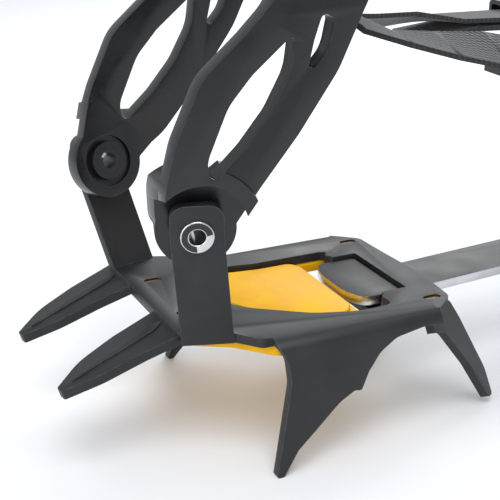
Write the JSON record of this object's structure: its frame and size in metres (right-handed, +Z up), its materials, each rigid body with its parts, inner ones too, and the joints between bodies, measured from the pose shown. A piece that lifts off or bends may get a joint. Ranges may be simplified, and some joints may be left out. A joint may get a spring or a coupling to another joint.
{
  "type": "crampon",
  "caption": "Strap-on boot crampon: pointed steel toe and heel plates on a flat adjustable bar, moulded toe cage and heel cup, webbing strap with a double ring.",
  "frame": {"origin": "on the sole face of the front plate, in the middle of its cross member", "axes": "+X to the toe, +Y to the wearer's left, +Z up, away from the points"},
  "size_m": [0.3528, 0.1037, 0.1447],
  "materials": {
    "steel": "matt dark grey coating over steel, worn bright at edges",
    "yellow_plastic": "glossy moulded yellow plastic",
    "bright_steel": "bare bright steel",
    "black_plastic": "satin black moulded plastic",
    "webbing": "black woven webbing"
  },
  "bodies": {
    "front_section": {"front_plate": "steel", "front_antiball_plate": "yellow_plastic", "front_antiball_pegs": "yellow_plastic", "toe_rivet_left": "bright_steel", "toe_rivet_right": "bright_steel", "toe_rivet_caps": "black_plastic", "toe_spacers": "black_plastic", "strap_front_left": "webbing", "strap_front_right": "webbing", "strap_keeper": "black_plastic"},
    "toe_cage": {"toe_harness": "black_plastic", "toe_strap_rivets": "bright_steel"},
    "bar": {"link_bar": "steel"},
    "heel_section": {"heel_plate": "steel", "heel_antiball_plate": "yellow_plastic", "heel_antiball_pegs": "yellow_plastic", "heel_rivet_left": "bright_steel", "heel_rivet_right": "bright_steel", "heel_rivet_caps": "black_plastic", "heel_spacers": "black_plastic", "lock_hinge_pin": "bright_steel", "lock_spring": "bright_steel", "strap_rear_left": "webbing", "strap_rear_right": "webbing", "strap_end_tab": "black_plastic"},
    "heel_cup": {"heel_harness": "black_plastic", "heel_strap_rivets": "bright_steel"},
    "lock": {"lock_lever": "bright_steel", "lock_pin": "bright_steel"},
    "ring_front": {"buckle_ring_front": "bright_steel"},
    "ring_back": {"buckle_ring_back": "bright_steel"}
  },
  "joints": [
    {"name": "toe_cage_swing", "type": "hinge", "parent": "front_section", "child": "toe_cage", "pos_m": [0.00703, -0.01308, 0.03462], "axis": [-0.1012, 0.9935, -0.0522], "range_deg": [-15, 20], "deforming": ["strap_front_left", "strap_front_right"]},
    {"name": "bar_rock", "type": "hinge", "parent": "front_section", "child": "bar", "pos_m": [-0.069, 0, -0.0058], "axis": [0, 1, 0], "range_deg": [-4, 4]},
    {"name": "length_adjust", "type": "slide", "parent": "bar", "child": "heel_section", "axis": [0.9962, 0.0872, 0], "range_m": [-0.03, 0.03], "deforming": ["strap_rear_left", "strap_rear_right"]},
    {"name": "heel_cup_swing", "type": "hinge", "parent": "heel_section", "child": "heel_cup", "pos_m": [-0.23837, -0.01442, 0.034], "axis": [-0.0872, 0.9962, 0], "range_deg": [-20, 25]},
    {"name": "lock_release", "type": "hinge", "parent": "heel_section", "child": "lock", "pos_m": [-0.22442, -0.0132, -0.0016], "axis": [-0.0872, 0.9962, 0], "range_deg": [0, 25]},
    {"name": "ring_front_turn", "type": "hinge", "parent": "front_section", "child": "ring_front", "pos_m": [-0.1484, 0.0203, 0.07014], "axis": [0, 1, 0], "range_deg": [-8, 8]},
    {"name": "ring_back_turn", "type": "hinge", "parent": "front_section", "child": "ring_back", "pos_m": [-0.1556, 0.0203, 0.06986], "axis": [0, 1, 0], "range_deg": [-8, 8]}
  ]
}
